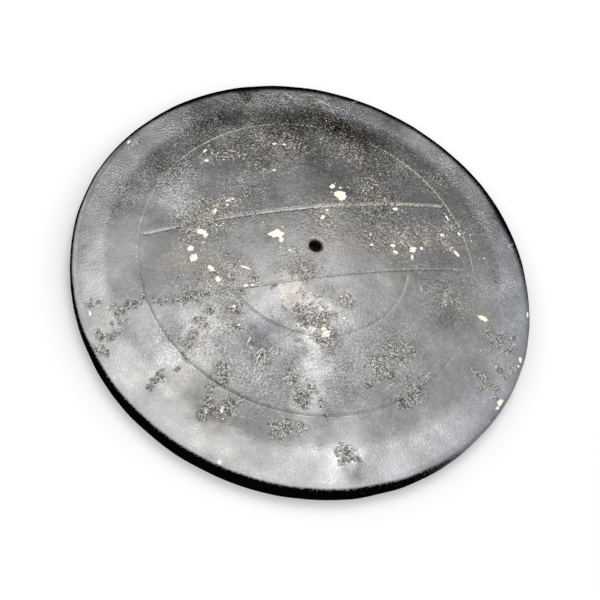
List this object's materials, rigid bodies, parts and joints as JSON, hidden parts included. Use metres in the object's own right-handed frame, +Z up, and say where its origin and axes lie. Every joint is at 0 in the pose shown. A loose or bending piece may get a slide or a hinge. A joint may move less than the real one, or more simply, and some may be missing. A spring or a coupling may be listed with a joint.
{
  "type": "manhole cover",
  "caption": "Round domed steel manhole cover with a turned-down rim, sunk lines, a central key hole and a key-turned locking bar under a ribbed dome.",
  "frame": {"origin": "on the cover's axis, in the plane that the rim stands on", "axes": "+Z up along the axis of the cover and of the lock, X along the two straight sunk lines, -Y towards the sunk half circle"},
  "size_m": [0.6, 0.6, 0.0699],
  "materials": {
    "coated_steel": "worn dark grey bitumen coating, semi-gloss, pitted and chipped",
    "bare_steel": "greased bare steel, dull",
    "bronze": "turned bearing bronze, dull",
    "rubber": "matt black rubber"
  },
  "bodies": {
    "cover": {"domed_plate": "coated_steel", "rim_skirt": "coated_steel", "spigot_ring": "coated_steel", "sealing_gasket": "rubber", "rib_1": "coated_steel", "rib_2": "coated_steel", "rib_3": "coated_steel", "rib_4": "coated_steel", "rib_5": "coated_steel", "rib_6": "coated_steel", "rib_7": "coated_steel", "rib_8": "coated_steel", "lock_housing": "coated_steel", "stop_pin_open": "bare_steel", "stop_pin_locked": "bare_steel", "upper_bush": "bronze", "lower_bush": "bronze"},
    "lock": {"spindle": "bare_steel", "spindle_seal": "rubber", "thrust_washer": "bronze", "locking_bar": "bare_steel", "wedge_pad_1": "bare_steel", "wedge_pad_2": "bare_steel", "retaining_ring": "bare_steel"}
  },
  "joints": [
    {"name": "lock_turn", "type": "hinge", "parent": "cover", "child": "lock", "pos_m": [0, 0, 0.012], "axis": [0, 0, 1], "range_deg": [0, 90]}
  ]
}
